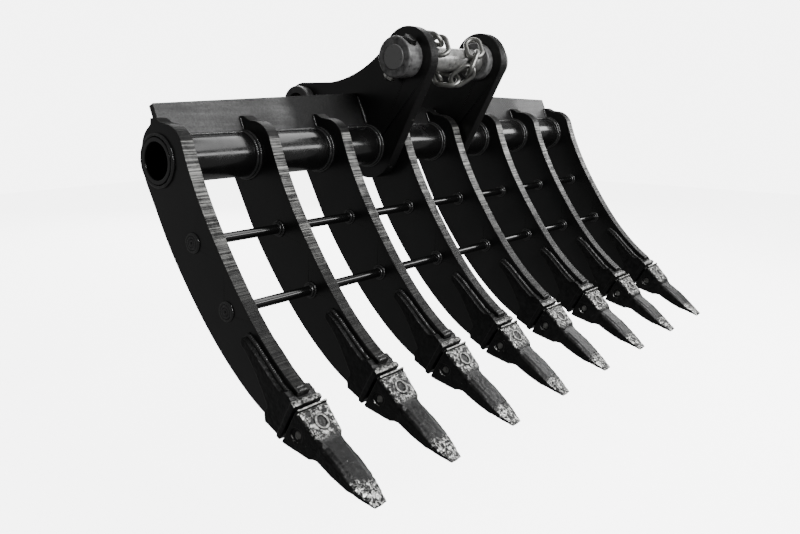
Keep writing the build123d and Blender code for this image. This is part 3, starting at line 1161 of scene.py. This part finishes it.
def bead_along(build, points, radius, closed=False, seed=0):
    """Adds a rippled bead to a bmesh along points about 1.3 mm apart."""
    count = len(points)
    around = 10
    rings = []
    for i, point in enumerate(points):
        ahead = points[(i + 1) % count] if closed or i + 1 < count else points[i]
        behind = points[i - 1] if closed or i > 0 else points[i]
        along = (ahead - behind).normalized()
        if abs(along.x) > 0.99:
            side = along.orthogonal().normalized()
        else:
            side = along.cross(Vector((1, 0, 0))).normalized()
        other = along.cross(side)
        travelled = i * (points[1] - points[0]).length
        scallop = abs(math.sin(math.pi * travelled / ripple))
        lump = noise.noise(point / 0.011 + Vector((seed, 0, 0)))
        size = radius * (0.80 + 0.20 * scallop + 0.22 * lump)
        if not closed:
            size *= min(1.0, 0.35 + 0.65 * min(i, count - 1 - i) / 4)
        ring = []
        for k in range(around):
            turn = 2 * math.pi * k / around
            outward = math.cos(turn) * side + math.sin(turn) * other
            ring.append(build.verts.new(point + size * outward))
        rings.append(ring)
    last = count if closed else count - 1
    for i in range(last):
        near, far = rings[i], rings[(i + 1) % count]
        for k in range(around):
            j = (k + 1) % around
            build.faces.new((near[k], near[j], far[j], far[k]))
    if not closed:
        build.faces.new(rings[0])
        build.faces.new(list(reversed(rings[-1])))


def weld_ring(build, x, axis, radius, bead):
    """A bead all round a bar where it meets a plate."""
    steps = max(24, int(2 * math.pi * radius / bead_step))
    ring = []
    for i in range(steps):
        turn = 2 * math.pi * i / steps
        y = axis[0] + radius * math.cos(turn)
        z = axis[1] + radius * math.sin(turn)
        ring.append(Vector((x, y, z)))
    bead_along(build, ring, bead, closed=True, seed=x)


def even_points(corners, spacing=bead_step):
    """Points evenly spaced along a line of corners."""
    points = []
    for start, end in zip(corners, corners[1:]):
        steps = max(1, round((end - start).length / spacing))
        points += [start.lerp(end, i / steps) for i in range(steps)]
    return points + [corners[-1]]


def weld_piece(name, build, material):
    """Turns finished beads into one piece fixed to the rake."""
    bmesh.ops.recalc_face_normals(build, faces=build.faces)
    data = bpy.data.meshes.new(name)
    build.to_mesh(data)
    build.free()
    data.shade_smooth()
    data.materials.append(material)
    piece = bpy.data.objects.new(name, data)
    bpy.context.scene.collection.objects.link(piece)
    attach(piece, "rake")
    return piece


# The beads' black is a shade lighter than the tube's: painted highlight for the glints on their
# ripples
weld_paint_with_painted_glint = gloss_enamel("weld_bead_black_enamel_painted_glint", "#1c1c1c", 0.17, 0.3)
ear_faces = []
for ear in ("ear_left", "ear_right"):
    low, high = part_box(ear)
    ear_faces += [(low.x, -1), (high.x, 1)]
tine_faces = [(x + side * tine_half, side) for x in tine_middles for side in (-1, 1)]

# Round the tube at every tine and ear
tube_bead = 0.0046
tube_root_off_plate, tube_root_off_pipe = 0.0016, 0.0045
tube_cap_off_plate, tube_cap_off_pipe = 0.0085, 0.001
build = bmesh.new()
for x, side in tine_faces + ear_faces:
    root_x = x + side * tube_root_off_plate
    weld_ring(build, root_x, tube_axis, tube_radius + tube_root_off_pipe, tube_bead)
    if abs(x) < tine_middles[-1]:
        cap_x = x + side * tube_cap_off_plate
        weld_ring(build, cap_x, tube_axis, tube_radius + tube_cap_off_pipe, tube_bead)
piece = weld_piece("tube_weld_beads", build, weld_paint_with_painted_glint)
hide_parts("tube_welds")

# Round the tie rods, with plugged ends on the outer tines
rod_root_bead, rod_root_off_plate, rod_root_off_rod = 0.0042, 0.001, 0.005
rod_cap_bead, rod_cap_off_plate, rod_cap_off_rod = 0.004, 0.0065, 0.001
plug_bead, plug_radii = 0.0046, (0.0185, 0.012, 0.0055)
plug_sunk, plug_crown = 0.0001, 0.0004
for rod, welds in (("tie_rod_upper", "rod_welds_upper"), ("tie_rod_lower", "rod_welds_lower")):
    build = bmesh.new()
    for x, side in tine_faces[1:-1]:
        root_x = x + side * rod_root_off_plate
        weld_ring(build, root_x, rod_axes[rod], rod_radius + rod_root_off_rod, rod_root_bead)
        cap_x = x + side * rod_cap_off_plate
        weld_ring(build, cap_x, rod_axes[rod], rod_radius + rod_cap_off_rod, rod_cap_bead)
    for x, side in (tine_faces[0], tine_faces[-1]):
        for turn, radius in enumerate(plug_radii):
            plug_x = x + side * (plug_sunk + plug_crown * turn)
            weld_ring(build, plug_x, rod_axes[rod], radius, plug_bead)
    piece = weld_piece(rod.replace("tie_rod", "rod_weld_beads"), build, weld_paint_with_painted_glint)
    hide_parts(welds)

# Up the joints between the back plates and the ears
plate_lean = math.radians(22.8)
lean = Vector((0, math.sin(plate_lean), math.cos(plate_lean)))
forward = Vector((0, -lean.z, lean.y))
foot = Vector((0, 0.1373, -0.1832))
joint_tops = (0.094, 0.05, 0.05, 0.094)
joint_bead, joint_start, joint_off, joint_short = 0.005, 0.010, 0.002, 0.002
build = bmesh.new()
for (x, side), top in zip(ear_faces, joint_tops):
    start = foot + lean * joint_start + forward * joint_off + Vector((x + side * joint_off, 0, 0))
    end = start + lean * (top - (joint_start + joint_short))
    bead_along(build, even_points([start, end]), joint_bead, seed=x)
piece = weld_piece("ear_plate_weld_beads", build, weld_paint_with_painted_glint)
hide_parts("ear_plate_welds")

# Between the horns of the tines and the back plates
horn_bead, horn_start, horn_off, horn_length = 0.0034, 0.006, 0.0012, 0.036
build = bmesh.new()
for x, side in tine_faces[1:-1]:
    start = foot + lean * horn_start + forward * horn_off + Vector((x + side * horn_off, 0, 0))
    end = start + lean * horn_length
    bead_along(build, even_points([start, end]), horn_bead, seed=x)
weld_piece("horn_weld_beads", build, weld_paint_with_painted_glint)

# Along the back plates' feet, between the tines and the ears
foot_bead, foot_inset, foot_y, foot_z = 0.0042, 0.008, 0.1345, -0.1795
build = bmesh.new()
stops = sorted(x for x, side in tine_faces + ear_faces)
for left, right in zip(stops[1:-1:2], stops[2:-1:2]):
    start = Vector((left + foot_inset, foot_y, foot_z))
    end = Vector((right - foot_inset, foot_y, foot_z))
    bead_along(build, even_points([start, end]), foot_bead, seed=left)
weld_piece("plate_foot_weld_beads", build, weld_paint_with_painted_glint)

# Round the adapters' cheeks and over their top edges
cheek_outline = [
    (-0.250, -0.6605), (-0.227, -0.644), (-0.192, -0.612), (-0.158, -0.580),
    (-0.136, -0.564), (-0.129, -0.569), (-0.130, -0.579), (-0.137, -0.587),
    (-0.164, -0.622), (-0.190, -0.668), (-0.211, -0.712),
]
cheek_bead, cheek_step, cheek_off = 0.0062, 0.0015, 0.0015
top_y, top_z, top_inset = -0.2665, -0.6545, 0.002
top_runs = ((0.0, 0.0055), (0.007, 0.0048))
run_back, run_lift = 1.2, 0.15
build = bmesh.new()
for middle in tine_middles:
    for side in (-1, 1):
        cheek_at = middle + side * (tine_half + cheek_off)
        corners = [Vector((cheek_at, y, z)) for y, z in cheek_outline]
        bead_along(build, even_points(corners, cheek_step), cheek_bead, seed=middle + side)
    for rise, bead in top_runs:
        behind, above = tooth_along * -rise * run_back, tooth_up * (rise * run_lift)
        left = Vector((middle - tine_half + top_inset, top_y, top_z)) + behind + above
        right = Vector((middle + tine_half - top_inset, top_y, top_z)) + behind + above
        bead_along(build, even_points([left, right]), bead, seed=middle + rise)
adapter_weld_paint = gloss_enamel("adapter_weld_thick_black_enamel", "#121212", 0.4, 0.15)
weld_piece("adapter_weld_beads", build, adapter_weld_paint)

# ---------------------------------------------------------------------------
# Studio: a plain pale floor below the hanging rake, a pale surround, four soft
# lights and the camera.
# ---------------------------------------------------------------------------
scene = bpy.context.scene
floor_mesh = bpy.data.meshes.new("studio_floor")
floor_size = 14.0
floor_height = cad_low.z - 0.25
reach = floor_size / 2
corners = ((-reach, -reach), (reach, -reach), (reach, reach), (-reach, reach))
floor_mesh.from_pydata([(x, y, floor_height) for x, y in corners], [], [(0, 1, 2, 3)])
floor = bpy.data.objects.new("studio_floor", floor_mesh)
scene.collection.objects.link(floor)
floor_paint = new_material("studio_floor_white")
floor_shader = add_node(
    floor_paint,
    "ShaderNodeBsdfPrincipled",
    {
        "Base Color": linear("#f4f4f4"),
        "Roughness": 0.9,
        "Emission Color": linear("#ffffff"),
        "Emission Strength": 5.2,
    },
)
finish_material(floor_paint, floor_shader)
dress(floor, floor_paint)
floor.visible_glossy = False
floor.visible_diffuse = False

# The surround is pale to look at and dim in reflections, so black paint stays black
world = bpy.data.worlds.new("pale_surround")
scene.world = world
world.use_nodes = True
seen = add_node(world, "ShaderNodeLightPath")
level = add_node(
    world,
    "ShaderNodeMapRange",
    {"Value": seen.outputs["Is Camera Ray"], "To Min": 0.25, "To Max": 6.0},
)
sky_shader = world.node_tree.nodes["Background"]
sky_shader.inputs["Color"].default_value = linear("#ffffff")
world.node_tree.links.new(level.outputs[0], sky_shader.inputs["Strength"])


def soft_light(name, place, target, size, power):
    """A soft rectangular light of a width and a height, aimed at a point."""
    data = bpy.data.lights.new(name, "AREA")
    data.shape = "RECTANGLE"
    data.size, data.size_y = size
    data.energy = power
    light = bpy.data.objects.new(name, data)
    light.location = place
    aim = Vector(target) - Vector(place)
    light.rotation_euler = aim.to_track_quat("-Z", "Y").to_euler()
    light.visible_camera = False
    scene.collection.objects.link(light)


# A long softbox to the right draws the highlight along the tube, a key in front
# lights the tops of the tines, a weak one overhead picks out the teeth, and a
# fill behind on the right shows the backs of the ears and tines
soft_light("right_strip_softbox", (2.0, -1.3, 0.55), (0.6, 0.14, -0.25), (4.4, 0.55), 60)
soft_light("front_key_softbox", (-0.3, -3.0, 1.5), (0, 0.1, -0.3), (2.2, 0.9), 170)
soft_light("overhead_softbox", (1.3, -0.5, 1.9), (0.2, -0.4, -0.6), (4.0, 0.9), 38)
soft_light("rear_fill_softbox", (2.8, 3.2, 1.2), (0, 0.3, -0.35), (3.2, 2.6), 200)

camera_data = bpy.data.cameras.new("studio_camera")
camera_data.lens = 35.99
camera_data.sensor_width = 36.0
camera = bpy.data.objects.new("studio_camera", camera_data)
look = Vector((0.76, 0.6153, -0.2093)).normalized()
camera.location = (-1.8586, -1.3352, -0.0969)
camera.rotation_euler = look.to_track_quat("-Z", "Y").to_euler()
scene.collection.objects.link(camera)
scene.camera = camera
